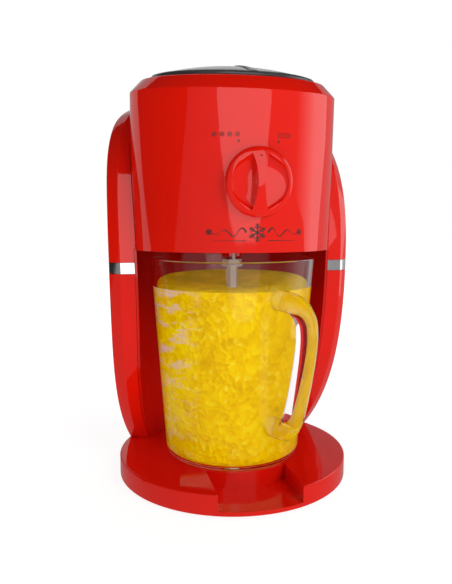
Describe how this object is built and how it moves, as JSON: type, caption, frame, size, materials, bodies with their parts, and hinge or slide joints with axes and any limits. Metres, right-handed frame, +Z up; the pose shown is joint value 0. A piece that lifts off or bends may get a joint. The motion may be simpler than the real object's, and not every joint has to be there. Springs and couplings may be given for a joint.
{
  "type": "shaved ice machine",
  "caption": "Countertop shaved-ice and slush machine: lidded hopper head with a geared blade disc and control knob over a clear pitcher with a stirring paddle.",
  "frame": {"origin": "centre of the outer box at the plane the feet stand on; it lies on the common axis of the base, the pitcher and the blade disc", "axes": "+Z up; -Y is the front, where the knob is and where the pitcher slides out; +X is to the right of a person facing the front"},
  "size_m": [0.2388, 0.2392, 0.3952],
  "materials": {
    "red_plastic": "high gloss",
    "dark_red_plastic": "gloss",
    "charcoal_plastic": "fine satin",
    "smoked_plastic": "smoked and clear",
    "chrome_plastic": "mirror plated",
    "clear_plastic": "clear",
    "grey_plastic": "satin gloss",
    "white_plastic": "natural moulded",
    "steel": "brushed",
    "bronze": "sintered",
    "rubber": "matt"
  },
  "bodies": {
    "machine": {"base_shell": "red_plastic", "base_cover": "charcoal_plastic", "base_screw_1": "steel", "base_screw_2": "steel", "base_screw_3": "steel", "base_screw_4": "steel", "foot_1": "rubber", "foot_2": "rubber", "foot_3": "rubber", "foot_4": "rubber", "lower_housing": "red_plastic", "trim_band": "chrome_plastic", "upper_housing": "red_plastic", "rear_cover": "red_plastic", "recess_liner": "dark_red_plastic", "cord_gland": "rubber", "head_shell": "red_plastic", "head_floor": "dark_red_plastic", "ice_chute": "white_plastic", "shaving_chamber": "white_plastic", "hopper": "clear_plastic", "gearbox_plate": "steel", "lower_bush": "bronze", "upper_bush": "bronze", "shaft_seal": "rubber", "idler_pin": "steel", "motor_can": "steel", "motor_screw_1": "steel", "motor_screw_2": "steel", "switch_body": "charcoal_plastic"},
    "lid": {"lid_frame": "charcoal_plastic", "lid_window": "smoked_plastic"},
    "drive": {"drive_shaft": "steel", "main_gear": "white_plastic", "output_coupling": "dark_red_plastic", "shaving_disc": "steel", "blade_1": "steel", "blade_2": "steel", "blade_screw_1": "steel", "blade_screw_2": "steel", "disc_nut": "steel"},
    "idler": {"idler_gear": "white_plastic"},
    "rotor": {"motor_rotor": "steel", "motor_pinion": "bronze", "cooling_fan": "white_plastic"},
    "control": {"knob": "red_plastic", "knob_shaft": "grey_plastic"},
    "pitcher": {"pitcher": "clear_plastic", "pitcher_handle": "clear_plastic"},
    "paddle": {"paddle_collar": "grey_plastic", "paddle_shaft": "grey_plastic", "stirring_blades": "grey_plastic"}
  },
  "joints": [
    {"name": "lid_lift", "type": "slide", "parent": "machine", "child": "lid", "axis": [0, 0, 1], "range_m": [0, 0.12]},
    {"name": "knob_turn", "type": "hinge", "parent": "machine", "child": "control", "pos_m": [0, -0.0909, 0.28], "axis": [0, -0.9985, -0.0544], "range_deg": [-26, 26]},
    {"name": "drive_spin", "type": "hinge", "parent": "machine", "child": "drive", "pos_m": [0, 0, 0.25], "axis": [0, 0, 1], "continuous": true},
    {"name": "idler_spin", "type": "hinge", "parent": "machine", "child": "idler", "pos_m": [0, 0.0484, 0.237], "axis": [0, 0, 1], "continuous": true},
    {"name": "rotor_spin", "type": "hinge", "parent": "machine", "child": "rotor", "pos_m": [0, 0.09625, 0.28], "axis": [0, 0, 1], "continuous": true},
    {"name": "pitcher_slide", "type": "slide", "parent": "machine", "child": "pitcher", "axis": [0, -1, 0], "range_m": [0, 0.24]},
    {"name": "paddle_spin", "type": "hinge", "parent": "pitcher", "child": "paddle", "pos_m": [0, 0, 0.1], "axis": [0, 0, 1], "continuous": true}
  ],
  "couplings": [
    {"joint": "idler_spin", "follows": "drive_spin", "ratio": -2.6667},
    {"joint": "rotor_spin", "follows": "drive_spin", "ratio": 12.8},
    {"joint": "paddle_spin", "follows": "drive_spin", "ratio": 1}
  ]
}
